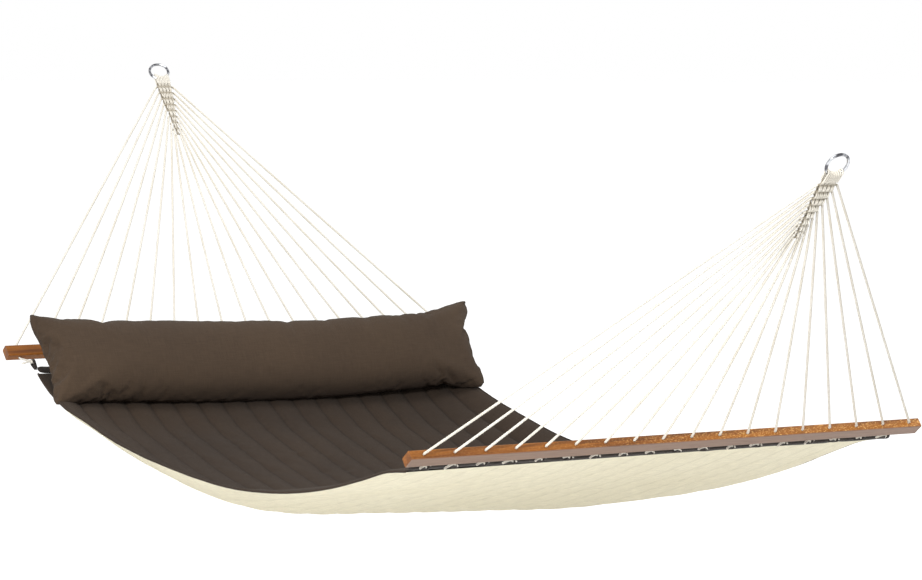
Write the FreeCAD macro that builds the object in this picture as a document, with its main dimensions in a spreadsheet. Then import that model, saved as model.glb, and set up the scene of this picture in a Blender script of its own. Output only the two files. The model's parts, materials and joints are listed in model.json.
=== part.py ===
"""Quilted spreader-bar hammock with its pillow, hung by a steel ring at each end.

Millimetres. X runs along the wooden bars, Y from the foot end (-Y) to the head end (+Y) and Z is up.
The origin is the point inside the head ring that hangs on a hook. Every length, angle and count that
can be chosen is in SIZES; all places are worked out from them in the classes below.
"""
import FreeCAD, Part
import math
import os

import Sketcher

SIZES = {
    # wooden spreader bars
    "bar_length": 1376.0,
    "bar_width": 23.0,
    "bar_depth": 33.0,
    "bar_edge_radius": 3.0,
    "hole_count": 18,
    "hole_pitch": 77.0,
    "hole_diameter": 7.0,
    "bar_spacing": 2004.0,
    "head_bar_angle": 46.0,
    "foot_bar_angle": 40.0,
    # rope, woven triangle and ring at each end
    "rope_diameter": 5.5,
    "rope_clearance": 0.3,
    "head_clew_length": 844.0,
    "foot_clew_length": 822.0,
    "head_clew_angle": 54.9,
    "foot_clew_angle": 50.3,
    "weave_layers": 2,
    "first_row": 16.0,
    "last_row_margin": 2.5,
    "rope_turns_a_row": 3.5,
    "rows_a_clew": 44.0,
    "ring_radius": 26.0,
    "ring_wire": 7.0,
    "wrap_angle": 140.0,
    "wrap_play": 0.1,
    "head_ring_lean": -9.0,
    "foot_ring_lean": 7.0,
    "head_ring_twist": -12.0,
    "foot_ring_twist": 2.0,
    # lacing between bar and bed
    "lacing_drop": 15.0,
    "lacing_bend": 4.0,
    "lacing_radius": 5.0,
    "knot_diameter": 13.0,
    "knot_pitch": 73.2,
    "loop_length": 16.0,
    "loop_width": 8.0,
    "loop_thickness": 1.6,
    "hem_width": 24.0,
    "hem_thickness": 5.0,
    "hem_length": 1290.0,
    # quilted bed
    "bed_width": 1300.0,
    "bed_depth": 285.0,
    "low_point": -50.0,
    "head_slope": 38.0,
    "foot_slope": 23.0,
    "padding_thickness": 18.0,
    "cover_thickness": 1.5,
    # pillow
    "pillow_length": 1280.0,
    "pillow_height": 292.0,
    "pillow_thickness": 140.0,
    "pillow_lean": 33.0,
    "pillow_set_back": 150.0,
    "pillow_drop": 42.0,
    "pillow_cloth": 1.0,
    "pillow_rest_gap": 0.5,
}

PROFILE_POINTS = 9
X_AXIS = FreeCAD.Vector(1, 0, 0)
Z_AXIS = FreeCAD.Vector(0, 0, 1)

doc = FreeCAD.newDocument("hammock")
sheet = doc.addObject("Spreadsheet::Sheet", "sizes")


def fill_sheet():
    """Write every size to the sheet as a plain number with its name as the alias."""
    for row, (name, value) in enumerate(SIZES.items(), start=1):
        sheet.set(f"A{row}", name)
        sheet.set(f"B{row}", str(value))
        sheet.setAlias(f"B{row}", name)
    doc.recompute()


def size(name):
    """The value of one cell of the sheet."""
    return float(sheet.get(name))


def heading(angle):
    """Unit vector in the YZ plane, angle degrees above +Y."""
    turn = math.radians(angle)
    return FreeCAD.Vector(0, math.cos(turn), math.sin(turn))


class End:
    """The places that one end of the hammock hangs on, before the origin is moved to the head ring.

    The construction frame has its origin midway between the two rows of hole mouths.
    """

    def __init__(self, name, side):
        self.name = name
        self.side = side
        self.bar_out = self.outward(size(f"{name}_bar_angle"))
        self.clew_out = self.outward(size(f"{name}_clew_angle"))
        self.slope_out = self.outward(size(f"{name}_slope"))
        self.ring_out = self.outward(size(f"{name}_clew_angle") + size(f"{name}_ring_lean"))
        rope_radius = size("rope_diameter") / 2
        self.mouth = FreeCAD.Vector(0, side * size("bar_spacing") / 2, 0)
        self.fold = self.mouth + self.bar_out * (rope_radius + size("rope_clearance"))
        self.pivot = self.fold + self.clew_out * (size(f"{name}_clew_length") - size("ring_radius"))
        self.ring_centre = self.pivot + self.ring_out * size("ring_radius")
        self.hang = self.ring_centre + self.ring_out * (size("ring_radius") - size("ring_wire") / 2)
        self.bar_centre = self.mouth - self.bar_out * (size("bar_depth") / 2)
        self.underside = self.mouth - self.bar_out * size("bar_depth")
        self.knot = self.underside - self.bar_out * size("lacing_drop")
        self.loop_start = self.knot - self.slope_out * (size("knot_diameter") / 2 + size("rope_clearance"))
        self.hem_start = self.loop_start - self.slope_out * size("loop_length")
        self.bed_end = self.hem_start - self.slope_out * size("hem_width")

    def outward(self, angle):
        """Unit vector that points away from the bed, angle degrees above the horizontal."""
        lean = heading(angle)
        return FreeCAD.Vector(0, self.side * lean.y, lean.z)


def hole_places(pitch_name):
    """X of each rope along a bar, with the given pitch, from the left end."""
    count = int(size("hole_count"))
    first = -(count - 1) / 2 * size(pitch_name)
    return [first + number * size(pitch_name) for number in range(count)]


def in_frame(point):
    """Move a point of the construction frame to the finished frame."""
    return point - head.hang


def along(direction, across=X_AXIS):
    """Rotation that takes local Z to direction and local X as near to across as it can be."""
    return FreeCAD.Rotation(across, FreeCAD.Vector(), direction, "ZXY")


# ---------------------------------------------------------------- building helpers


def origin_plane(body, role):
    """One of a body's own origin planes."""
    return next(item for item in body.Origin.OriginFeatures if item.Role == role)


def new_body(label):
    """An empty PartDesign body with its label."""
    body = doc.addObject("PartDesign::Body", label)
    body.Label = label
    return body


def new_sketch(body, role, name):
    """A sketch attached flat to one of the body's origin planes."""
    sketch = body.newObject("Sketcher::SketchObject", name)
    sketch.AttachmentSupport = [(origin_plane(body, role), "")]
    sketch.MapMode = "FlatFace"
    return sketch


def add_outline(sketch, corners):
    """Closed chain of straight lines through the corners, joined end to end; returns line numbers."""
    lines = []
    for start, stop in zip(corners, corners[1:] + corners[:1]):
        edge = Part.LineSegment(FreeCAD.Vector(*start, 0), FreeCAD.Vector(*stop, 0))
        lines.append(sketch.addGeometry(edge, False))
    for line, following in zip(lines, lines[1:] + lines[:1]):
        sketch.addConstraint(Sketcher.Constraint("Coincident", line, 2, following, 1))
    return lines


def bind(sketch, name, constraint, expression):
    """Add a dimension to a sketch and tie it to the sheet."""
    number = sketch.addConstraint(constraint)
    sketch.renameConstraint(number, name)
    sketch.setExpression(f"Constraints.{name}", expression)


def add_rectangle(sketch, width, height):
    """Rectangle centred on the sketch's origin, its sides tied to two expressions."""
    corners = [(-10, -5), (10, -5), (10, 5), (-10, 5)]
    bottom, right, top, left = add_outline(sketch, corners)
    for line in (bottom, top):
        sketch.addConstraint(Sketcher.Constraint("Horizontal", line))
    for line in (right, left):
        sketch.addConstraint(Sketcher.Constraint("Vertical", line))
    sketch.addConstraint(Sketcher.Constraint("Symmetric", bottom, 1, top, 1, -1, 1))
    bind(sketch, "width", Sketcher.Constraint("DistanceX", bottom, 1, bottom, 2, 20.0), width)
    bind(sketch, "height", Sketcher.Constraint("DistanceY", right, 1, right, 2, 10.0), height)


def group(label, members):
    """Separate identical solids under one label."""
    bundle = doc.addObject("Part::Compound", label)
    bundle.Label = label
    bundle.Links = members
    return bundle


def shaped(label, shape):
    """A sub-part whose form no sketch feature or primitive gives."""
    feature = doc.addObject("Part::Feature", label)
    feature.Label = label
    feature.Shape = shape
    return feature


# ---------------------------------------------------------------- rings and their rope wraps


def make_ring(end):
    """Round steel ring, in the plane of the pull and turned a little about it."""
    ring = doc.addObject("Part::Torus", f"{end.name}_ring")
    ring.Label = f"{end.name}_ring"
    ring.setExpression("Radius1", "sizes.ring_radius")
    ring.setExpression("Radius2", "sizes.ring_wire / 2")
    ring.Placement = ring_placement(end)
    return ring


def ring_placement(end):
    """Ring's local Y along the pull and local Z square to the ring."""
    twist = FreeCAD.Rotation(end.ring_out, size(f"{end.name}_ring_twist") * end.side)
    upright = FreeCAD.Rotation(X_AXIS, end.ring_out, FreeCAD.Vector(), "XYZ")
    return FreeCAD.Placement(in_frame(end.ring_centre), twist * upright)


def make_wrap(end):
    """Rope turns side by side round the lower part of the ring: a tube bent along it."""
    pieces = []
    for name, radius in (
        ("wrap_outside", "sizes.ring_wire / 2 + sizes.rope_diameter"),
        ("wrap_bore", "sizes.ring_wire / 2 + sizes.wrap_play"),
    ):
        torus = doc.addObject("Part::Torus", f"{end.name}_{name}")
        torus.setExpression("Radius1", "sizes.ring_radius")
        torus.setExpression("Radius2", radius)
        pieces.append(torus)
    pieces[0].setExpression("Angle3", "sizes.wrap_angle")
    wrap = doc.addObject("Part::Cut", f"{end.name}_ring_wrap")
    wrap.Label = f"{end.name}_ring_wrap"
    wrap.Base, wrap.Tool = pieces
    centred = FreeCAD.Rotation(Z_AXIS, -90 - size("wrap_angle") / 2)
    placed = ring_placement(end)
    wrap.Placement = FreeCAD.Placement(placed.Base, placed.Rotation * centred)
    return wrap


# ---------------------------------------------------------------- woven triangle and ropes


WEAVE_TOP_WIDTH = "sizes.hole_count / sizes.weave_layers * sizes.rope_diameter"
WEAVE_END_WIDTH = "sizes.rope_diameter"
WEAVE_THICKNESS = "sizes.weave_layers * sizes.rope_diameter"


def weave_top(end):
    """Distance of the weave's ring end from the fold line."""
    wrap_reach = size("ring_radius") + size("ring_wire") / 2 + size("rope_diameter")
    return size(f"{end.name}_clew_length") - wrap_reach - size("rope_clearance")


def row_pitch(end):
    """Distance between rows: long enough for the rope's turns, and for the fan to part its ropes."""
    by_rope = size("rope_turns_a_row") * size("rope_diameter")
    by_fan = size(f"{end.name}_clew_length") / size("rows_a_clew")
    return max(by_rope, by_fan)


def row_place(end, row):
    """Distance of a row from the weave's ring end; a rope leaves on each side at every row."""
    return size("first_row") + row * row_pitch(end)


def weave_length(end):
    """Length of the weave, past its last row."""
    return row_place(end, size("hole_count") / 2 - 1) + size("last_row_margin")


def weave_half_width(end, reach):
    """Half of the weave's width at a distance from its ring end, and how fast it narrows."""
    wide = size("hole_count") / size("weave_layers") * size("rope_diameter") / 2
    narrow = size("rope_diameter") / 2
    taper = (wide - narrow) / weave_length(end)
    return wide - reach * taper, taper


def make_weave(end):
    """Flat two-layer mat, widest at the ring, padded from a trapezium."""
    body = new_body(f"{end.name}_weave")
    sketch = new_sketch(body, "XZ_Plane", f"{end.name}_weave_outline")
    low, right, top, left = add_outline(sketch, [(-5, 0), (5, 0), (25, 170), (-25, 170)])
    sketch.addConstraint(Sketcher.Constraint("Horizontal", low))
    sketch.addConstraint(Sketcher.Constraint("Symmetric", low, 1, low, 2, -1, 1))
    sketch.addConstraint(Sketcher.Constraint("Symmetric", top, 1, top, 2, -2))
    bind(sketch, "end_width", Sketcher.Constraint("DistanceX", low, 1, low, 2, 10.0), WEAVE_END_WIDTH)
    bind(sketch, "top_width", Sketcher.Constraint("DistanceX", top, 2, top, 1, 50.0), WEAVE_TOP_WIDTH)
    sketch.addConstraint(Sketcher.Constraint("DistanceY", low, 1, top, 2, weave_length(end)))
    pad = body.newObject("PartDesign::Pad", f"{end.name}_weave_pad")
    pad.Profile = sketch
    pad.SideType = "Symmetric"
    pad.setExpression("Length", WEAVE_THICKNESS)
    foot = end.fold + end.clew_out * (weave_top(end) - weave_length(end))
    body.Placement = FreeCAD.Placement(in_frame(foot), along(end.clew_out))
    return body


def rope_run(end, number):
    """Ends of rope number 0..17 in the clew's own plane: (x, distance from the fold line) twice.

    Rope 0 and rope 17 leave the weave in its first row and each pair further in leaves a row later.
    The rope's end lies beside the weave's slanted edge, clear of it by rope_clearance.
    """
    start_x = hole_places("hole_pitch")[number]
    hand = math.copysign(1, start_x)
    row = min(number, int(size("hole_count")) - 1 - number)
    reach = weave_top(end) - row_place(end, row)
    half_width, taper = weave_half_width(end, row_place(end, row))
    edge_lean = math.atan(taper)
    rope_lean = math.atan2(abs(start_x) - half_width, reach)
    off = size("rope_diameter") / 2 * math.cos(rope_lean + edge_lean) + size("rope_clearance")
    stop_x = hand * (half_width + off * math.cos(edge_lean))
    return (start_x, 0.0), (stop_x, reach - off * math.sin(edge_lean))


def make_rope(end, number):
    """Straight rope from its hole to the weave, turned from a half outline.

    Its lower end is round about the fold line, so it turns there without touching the bar.
    """
    (start_x, _), (stop_x, reach) = rope_run(end, number)
    start = end.fold + X_AXIS * start_x
    stop = end.fold + X_AXIS * stop_x + end.clew_out * reach
    label = f"{end.name}_cord_{number + 1:02d}"
    body = new_body(label)
    sketch = new_sketch(body, "XZ_Plane", f"{label}_outline")
    radius = size("rope_diameter") / 2
    length = (stop - start).Length
    origin = FreeCAD.Vector()
    quarter = Part.Circle(origin, Z_AXIS, radius)
    cap = sketch.addGeometry(Part.ArcOfCircle(quarter, -math.pi / 2, 0), False)
    points = [(radius, 0), (radius, length), (0, length), (0, -radius)]
    lines = []
    for first, second in zip(points, points[1:]):
        edge = Part.LineSegment(FreeCAD.Vector(*first, 0), FreeCAD.Vector(*second, 0))
        lines.append(sketch.addGeometry(edge, False))
    side, flat, axis = lines
    sketch.addConstraint(Sketcher.Constraint("Coincident", cap, 3, -1, 1))
    sketch.addConstraint(Sketcher.Constraint("Coincident", cap, 2, side, 1))
    sketch.addConstraint(Sketcher.Constraint("Coincident", side, 2, flat, 1))
    sketch.addConstraint(Sketcher.Constraint("Coincident", flat, 2, axis, 1))
    sketch.addConstraint(Sketcher.Constraint("Coincident", axis, 2, cap, 1))
    sketch.addConstraint(Sketcher.Constraint("PointOnObject", cap, 2, -1))
    sketch.addConstraint(Sketcher.Constraint("Vertical", side))
    sketch.addConstraint(Sketcher.Constraint("Horizontal", flat))
    sketch.addConstraint(Sketcher.Constraint("PointOnObject", flat, 2, -2))
    sketch.addConstraint(Sketcher.Constraint("PointOnObject", axis, 2, -2))
    sketch.addConstraint(Sketcher.Constraint("DistanceY", side, 1, side, 2, length))
    bind(sketch, "radius", Sketcher.Constraint("Radius", cap, radius), "sizes.rope_diameter / 2")
    turned = body.newObject("PartDesign::Revolution", f"{label}_turned")
    turned.Profile = sketch
    turned.ReferenceAxis = (sketch, ["V_Axis"])
    turned.Angle = 360
    body.Placement = FreeCAD.Placement(in_frame(start), along(stop - start))
    return body


# ---------------------------------------------------------------- bars and lacing


def make_bar(end):
    """Wooden bar with eased long edges and a row of holes; local Z runs along the holes."""
    body = new_body(f"{end.name}_bar")
    section = new_sketch(body, "YZ_Plane", f"{end.name}_bar_section")
    add_rectangle(section, "sizes.bar_width", "sizes.bar_depth")
    pad = body.newObject("PartDesign::Pad", f"{end.name}_bar_pad")
    pad.Profile = section
    pad.SideType = "Symmetric"
    pad.setExpression("Length", "sizes.bar_length")
    doc.recompute()
    long_edges = [
        f"Edge{number}"
        for number, edge in enumerate(pad.Shape.Edges, start=1)
        if abs(edge.tangentAt(edge.FirstParameter).x) > 0.99
    ]
    eased = body.newObject("PartDesign::Fillet", f"{end.name}_bar_eased")
    eased.Base = (pad, long_edges)
    eased.setExpression("Radius", "sizes.bar_edge_radius")
    mark = new_sketch(body, "XY_Plane", f"{end.name}_bar_hole_mark")
    circle = Part.Circle(FreeCAD.Vector(-650, 0, 0), Z_AXIS, 3.5)
    hole = mark.addGeometry(circle, False)
    mark.addConstraint(Sketcher.Constraint("PointOnObject", hole, 3, -1))
    first_hole = "(sizes.hole_count - 1) / 2 * sizes.hole_pitch"
    bind(mark, "first", Sketcher.Constraint("DistanceX", hole, 3, -1, 1, 650.0), first_hole)
    bind(mark, "bore", Sketcher.Constraint("Radius", hole, 3.5), "sizes.hole_diameter / 2")
    doc.recompute()
    solid_volume = eased.Shape.Volume
    bored = body.newObject("PartDesign::Pocket", f"{end.name}_bar_bored")
    bored.Profile = mark
    bored.Type = "ThroughAll"
    bored.SideType = "Symmetric"
    doc.recompute()
    if bored.Shape.Volume >= solid_volume:
        raise ValueError(f"{end.name}_bar: the hole cuts nothing")
    row = body.newObject("PartDesign::LinearPattern", f"{end.name}_bar_holes")
    row.Originals = [bored]
    row.Direction = (mark, ["H_Axis"])
    row.setExpression("Length", "(sizes.hole_count - 1) * sizes.hole_pitch")
    row.setExpression("Occurrences", "sizes.hole_count")
    body.Tip = row
    body.Placement = FreeCAD.Placement(in_frame(end.bar_centre), along(end.bar_out))
    return body


def bent_rope(start, corner, stop):
    """Rope along two straight runs joined by a tangent arc."""
    back = (start - corner).normalize()
    ahead = (stop - corner).normalize()
    half_turn = (math.pi - back.getAngle(ahead)) / 2
    bend = size("lacing_radius")
    reach = bend * math.tan(half_turn)
    arc_start = corner + back * reach
    arc_stop = corner + ahead * reach
    arc_middle = corner + (back + ahead).normalize() * (bend / math.cos(half_turn) - bend)
    path = Part.Wire(
        [
            Part.makeLine(start, arc_start),
            Part.Arc(arc_start, arc_middle, arc_stop).toShape(),
            Part.makeLine(arc_stop, stop),
        ]
    )
    section = Part.Wire(Part.makeCircle(size("rope_diameter") / 2, start, corner - start))
    return path.makePipeShell([section], True, True)


def make_lacing(end):
    """Rope ends inside the bar: through each hole, past its lower mouth and across to its knot."""
    strands = []
    for hole_x, knot_x in zip(hole_places("hole_pitch"), hole_places("knot_pitch")):
        mouth = in_frame(end.mouth + X_AXIS * hole_x)
        bend = in_frame(end.underside - end.bar_out * size("lacing_bend") + X_AXIS * hole_x)
        knot = in_frame(end.knot + X_AXIS * knot_x)
        slant = (knot - bend).normalize()
        knot_face = knot - slant * (size("knot_diameter") / 2 + size("wrap_play"))
        strands.append(bent_rope(mouth, bend, knot_face))
    return shaped(f"{end.name}_lacing", Part.makeCompound(strands))


def make_knots(end):
    """One knot at the end of each lacing strand, round about the line that the bar rolls on."""
    knots = []
    for number, knot_x in enumerate(hole_places("knot_pitch"), start=1):
        knot = doc.addObject("Part::Sphere", f"{end.name}_knot_ball_{number}")
        knot.setExpression("Radius", "sizes.knot_diameter / 2")
        knot.Placement.Base = in_frame(end.knot + X_AXIS * knot_x)
        knots.append(knot)
    return group(f"{end.name}_knots", knots)


def make_loops(end):
    """Flat webbing loop from the hem to each knot."""
    rotation = along(end.slope_out * -1)
    loops = []
    for number, knot_x in enumerate(hole_places("knot_pitch"), start=1):
        loop = doc.addObject("Part::Box", f"{end.name}_loop_strip_{number}")
        loop.setExpression("Length", "sizes.loop_width")
        loop.setExpression("Width", "sizes.loop_thickness")
        loop.setExpression("Height", "sizes.loop_length")
        corner = FreeCAD.Vector(-size("loop_width") / 2, -size("loop_thickness") / 2, 0)
        place = in_frame(end.loop_start + X_AXIS * knot_x) + rotation.multVec(corner)
        loop.Placement = FreeCAD.Placement(place, rotation)
        loops.append(loop)
    return group(f"{end.name}_hem_loops", loops)


def make_hem(end):
    """Folded band along the end of the bed that the loops are sewn into."""
    hem = doc.addObject("Part::Box", f"{end.name}_hem_band")
    hem.Label = f"{end.name}_hem_band"
    hem.setExpression("Length", "sizes.hem_length")
    hem.setExpression("Width", "sizes.hem_thickness")
    hem.setExpression("Height", "sizes.hem_width")
    rotation = along(end.slope_out * -1)
    corner = FreeCAD.Vector(-size("hem_length") / 2, -size("hem_thickness") / 2, 0)
    hem.Placement = FreeCAD.Placement(in_frame(end.hem_start) + rotation.multVec(corner), rotation)
    return hem


# ---------------------------------------------------------------- quilted bed and pillow


class BedLine:
    """Side view of the bed's middle surface.

    From the low point to each end the height is  z = low + rise * (|y - y_low| / run) ** power,
    with the power that gives the end its own slope: power = tan(slope) * run / rise.
    """

    def __init__(self, low_y, low_z):
        self.low_y = low_y
        self.low_z = low_z

    def points(self, end, lift):
        """Points from the low point to an end, moved square to the line by lift."""
        run = abs(end.bed_end.y - self.low_y)
        rise = end.bed_end.z - self.low_z
        power = math.tan(math.radians(size(f"{end.name}_slope"))) * run / rise
        found = []
        for step in range(PROFILE_POINTS):
            part = step / (PROFILE_POINTS - 1)
            slope = math.atan(rise / run * power * part ** (power - 1))
            y = self.low_y + end.side * (part * run - lift * math.sin(slope))
            z = self.low_z + rise * part**power + lift * math.cos(slope)
            found.append(in_frame(FreeCAD.Vector(0, y, z)))
        return found

    def curve(self, lift):
        """Smooth edge from the foot end to the head end, square to both end faces."""
        foot_half = self.points(foot, lift)[::-1]
        head_half = self.points(head, lift)[1:]
        spline = Part.BSplineCurve()
        spline.interpolate(
            Points=foot_half + head_half,
            InitialTangent=foot.slope_out * -1,
            FinalTangent=head.slope_out,
        )
        return spline.toShape()


def make_bed_layer(label, upper, lower):
    """One layer of the bed between two heights about its middle surface, straight across its width."""
    top = bed_line.curve(upper)
    bottom = bed_line.curve(lower)
    closing = [
        Part.makeLine(top.valueAt(end), bottom.valueAt(other))
        for end, other in (
            (top.FirstParameter, bottom.FirstParameter),
            (top.LastParameter, bottom.LastParameter),
        )
    ]
    wire = Part.Wire(Part.__sortEdges__([top, closing[1], bottom, closing[0]]))
    face = Part.Face(wire)
    face.translate(X_AXIS * (-size("bed_width") / 2))
    return shaped(label, face.extrude(X_AXIS * size("bed_width")))


def below_bed(rest_gap):
    """Everything under the bed's top face, with a gap, for shaping what lies on it."""
    top = bed_line.curve(bed_half_thickness() + rest_gap)
    ends = [top.valueAt(top.FirstParameter), top.valueAt(top.LastParameter)]
    floor = min(point.z for point in ends) - 2 * size("bed_depth")
    head_edge = ends[1] + head.slope_out * (size("hem_width") + size("loop_length"))
    corners = [
        ends[1],
        head_edge,
        FreeCAD.Vector(0, head_edge.y, floor),
        FreeCAD.Vector(0, ends[0].y, floor),
        ends[0],
    ]
    sides = [Part.makeLine(start, stop) for start, stop in zip(corners, corners[1:])]
    face = Part.Face(Part.Wire(Part.__sortEdges__([top, *sides])))
    face.translate(X_AXIS * (-size("bed_width")))
    return face.extrude(X_AXIS * (2 * size("bed_width")))


def bed_half_thickness():
    """Half of the bed's whole thickness."""
    return size("padding_thickness") / 2 + size("cover_thickness")


def pillow_lens(inset):
    """Cushion with sharp seams top and bottom: two arcs over its height, straight along its length."""
    half_height = size("pillow_height") / 2 - 2 * inset
    half_thickness = size("pillow_thickness") / 2 - inset
    top = FreeCAD.Vector(0, 0, half_height)
    bottom = FreeCAD.Vector(0, 0, -half_height)
    front = Part.Arc(top, FreeCAD.Vector(0, -half_thickness, 0), bottom).toShape()
    back = Part.Arc(bottom, FreeCAD.Vector(0, half_thickness, 0), top).toShape()
    length = size("pillow_length") - 2 * inset
    lens = Part.Face(Part.Wire([front, back])).extrude(X_AXIS * length)
    lens.translate(X_AXIS * (-length / 2))
    lens.rotate(FreeCAD.Vector(), X_AXIS, -size("pillow_lean"))
    centre = head.mouth - FreeCAD.Vector(0, size("pillow_set_back"), size("pillow_drop"))
    lens.translate(in_frame(centre))
    return lens


def make_pillow():
    """Pillow standing on the bed against the head end: its filling and the closed cloth round it."""
    rest_gap = size("pillow_rest_gap")
    outside = pillow_lens(0).cut(below_bed(rest_gap))
    inside = pillow_lens(size("pillow_cloth")).cut(below_bed(rest_gap + size("pillow_cloth")))
    return [
        shaped("pillow_cover", outside.cut(inside)),
        shaped("pillow_filling", inside),
    ]


# ---------------------------------------------------------------- whole hammock


def check(sub_parts):
    """Refuse a document with a failed object or a sub-part without a valid solid."""
    for item in doc.Objects:
        if "Invalid" in item.State or "Error" in item.State:
            raise ValueError(f"{item.Label}: {item.State}")
    for part in sub_parts:
        if part.Shape.isNull() or not part.Shape.isValid() or not part.Shape.Solids:
            raise ValueError(f"{part.Label}: no valid solid")


fill_sheet()
head = End("head", 1)
foot = End("foot", -1)
bed_line = BedLine(size("low_point"), -size("bed_depth"))

parts = []
for each_end in (head, foot):
    parts.append(make_ring(each_end))
    parts.append(make_wrap(each_end))
    parts.append(make_weave(each_end))
    for rope_number in range(int(size("hole_count"))):
        parts.append(make_rope(each_end, rope_number))
    parts.append(make_bar(each_end))
    parts.append(make_lacing(each_end))
    parts.append(make_knots(each_end))
    parts.append(make_loops(each_end))
    parts.append(make_hem(each_end))

half_padding = size("padding_thickness") / 2
parts.append(make_bed_layer("bed_top_cover", bed_half_thickness(), half_padding))
parts.append(make_bed_layer("bed_padding", half_padding, -half_padding))
parts.append(make_bed_layer("bed_bottom_cover", -half_padding, -bed_half_thickness()))
parts.extend(make_pillow())

doc.recompute()
check(parts)
os.makedirs("parts", exist_ok=True)
for part in parts:
    part.Shape.exportStep(f"parts/{part.Label}.step")
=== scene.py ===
"""Looks of a quilted spreader-bar hammock: ropes, woven ends, bars, quilted bed and pillow.

Metres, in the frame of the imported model: X along the bars, Y from the foot end to the head end, Z up.
"""

import json
import logging
import math
from dataclasses import dataclass, field
from enum import Enum

import bpy
import numpy as np
from mathutils import Matrix, Vector


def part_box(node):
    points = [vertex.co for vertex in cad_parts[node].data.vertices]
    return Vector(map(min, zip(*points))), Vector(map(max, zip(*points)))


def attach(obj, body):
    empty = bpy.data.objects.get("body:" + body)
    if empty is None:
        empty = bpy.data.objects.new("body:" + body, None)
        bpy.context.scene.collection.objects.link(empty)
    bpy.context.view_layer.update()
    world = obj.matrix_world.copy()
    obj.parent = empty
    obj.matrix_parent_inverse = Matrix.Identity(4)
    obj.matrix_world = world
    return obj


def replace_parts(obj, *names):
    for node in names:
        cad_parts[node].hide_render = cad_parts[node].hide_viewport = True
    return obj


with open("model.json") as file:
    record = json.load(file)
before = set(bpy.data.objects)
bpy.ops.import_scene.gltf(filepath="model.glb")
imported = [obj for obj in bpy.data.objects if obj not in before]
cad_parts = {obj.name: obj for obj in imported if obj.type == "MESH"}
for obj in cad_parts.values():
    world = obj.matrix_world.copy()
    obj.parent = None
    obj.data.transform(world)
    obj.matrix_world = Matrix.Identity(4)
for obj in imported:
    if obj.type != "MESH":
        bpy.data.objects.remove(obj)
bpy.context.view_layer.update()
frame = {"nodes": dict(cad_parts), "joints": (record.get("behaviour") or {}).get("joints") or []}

log = logging.getLogger("hammock")
Array = np.ndarray

ROPES = 18
ROPE_RADIUS = 0.00275
ROPE_CREST = 0.00305
HOLE_PITCH = 0.077
KNOT_PITCH = 0.0732
RING_RADIUS = 0.026
RING_WIRE = 0.0035


class Side(Enum):
    """The two ends of the hammock, with the sign of Y that points away from the bed."""

    HEAD = 1
    FOOT = -1

    @property
    def label(self) -> str:
        """Name of the end as the frame's joints and bodies spell it."""
        return self.name.lower()


# ---------------------------------------------------------------- arrays


def unit(vectors: Array) -> Array:
    """Vectors divided by their lengths, along the last axis."""
    return vectors / np.maximum(np.linalg.norm(vectors, axis=-1, keepdims=True), 1e-12)


def smooth_noise(x: Array, y: Array, seed: int) -> Array:
    """Smooth value noise: random lattice heights joined by the fade curve t*t*(3 - 2t).

    Args:
        x: First coordinate, in lattice cells.
        y: Second coordinate, in lattice cells.
        seed: Seed of the lattice.

    Returns:
        Values from -1 to 1, shaped like x and y.
    """
    lattice = np.random.default_rng(seed).uniform(-1, 1, (64, 64))
    column, row = np.floor(x).astype(int), np.floor(y).astype(int)
    across, up = x - column, y - row
    across, up = across * across * (3 - 2 * across), up * up * (3 - 2 * up)
    low = lattice[row % 64, column % 64] * (1 - across) + lattice[row % 64, (column + 1) % 64] * across
    row = row + 1
    high = lattice[row % 64, column % 64] * (1 - across) + lattice[row % 64, (column + 1) % 64] * across
    return low * (1 - up) + high * up


def smooth_path(points: Array, step: float) -> Array:
    """Evenly spaced points on a Catmull-Rom curve: each span is a cubic that leaves a point along
    the line between its two neighbours.

    Args:
        points: Control points, one per row.
        step: Distance between the points returned, in metres.

    Returns:
        Points along the curve, one per row.
    """
    padded = np.vstack([2 * points[0] - points[1], points, 2 * points[-1] - points[-2]])
    t = np.linspace(0, 1, 24, endpoint=False)[:, None, None]
    a, b, c, d = padded[:-3], padded[1:-2], padded[2:-1], padded[3:]
    dense = 0.5 * (2 * b + (c - a) * t + (2 * a - 5 * b + 4 * c - d) * t**2 + (3 * b - a - 3 * c + d) * t**3)
    dense = np.vstack([dense.transpose(1, 0, 2).reshape(-1, 3), points[-1:]])
    run = np.concatenate([[0], np.cumsum(np.linalg.norm(np.diff(dense, axis=0), axis=1))])
    even = np.linspace(0, run[-1], max(int(round(run[-1] / step)), 2) + 1)
    return np.stack([np.interp(even, run, dense[:, axis]) for axis in range(3)], axis=1)


def through(at: Array, places: Array, values: Array) -> Array:
    """Smooth curve through given points: cubic Hermite spans whose slopes are those of the neighbours.

    Args:
        at: Where to read the curve.
        places: Increasing places of the points.
        values: Their values.

    Returns:
        The curve's values, shaped like at.
    """
    slopes = np.gradient(values, places)
    span = np.clip(np.searchsorted(places, at) - 1, 0, len(places) - 2)
    width = places[span + 1] - places[span]
    t = np.clip((at - places[span]) / width, 0, 1)
    rise = values[span + 1] - values[span]
    bend = t * (1 - t) * ((slopes[span] * width - rise) * (1 - t) - (slopes[span + 1] * width - rise) * t)
    return values[span] + rise * t + bend


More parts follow.
